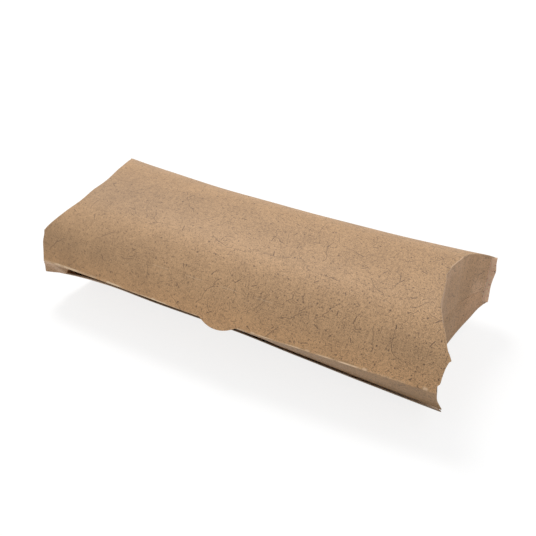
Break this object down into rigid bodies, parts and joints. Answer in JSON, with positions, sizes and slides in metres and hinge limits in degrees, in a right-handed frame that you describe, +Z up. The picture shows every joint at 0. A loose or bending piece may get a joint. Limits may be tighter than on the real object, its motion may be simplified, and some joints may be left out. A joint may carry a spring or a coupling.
{
  "type": "pillow box",
  "caption": "Kraft board pillow box with arched panels, curved tucked-in ends, outward-folded sides and a tear-open front flap with a thumb tab.",
  "frame": {"origin": "on the surface the box rests on, under the middle of its length and midway between its front and back corner tips", "axes": "+X along the box to its right end, -Y out of the front side with the thumb tab, +Z up"},
  "size_m": [0.2304, 0.107, 0.0592],
  "materials": {
    "kraft_board": "matt unbleached kraft with dark fibres",
    "dried_glue": "clear dried dispersion glue"
  },
  "bodies": {
    "carton": {"top_panel": "kraft_board", "bottom_panel": "kraft_board", "front_lower_side": "kraft_board", "back_upper_side": "kraft_board", "back_lower_side": "kraft_board", "left_inner_end_flap": "kraft_board", "right_inner_end_flap": "kraft_board", "left_outer_end_flap": "kraft_board", "right_outer_end_flap": "kraft_board", "seam_flap": "kraft_board", "seam_glue": "dried_glue"},
    "flap": {"tear_flap": "kraft_board"}
  },
  "joints": [
    {"name": "tear_flap_hinge", "type": "hinge", "parent": "carton", "child": "flap", "pos_m": [0, -0.0429, 0.0452], "axis": [-1, 0, 0], "range_deg": [0, 120]}
  ]
}
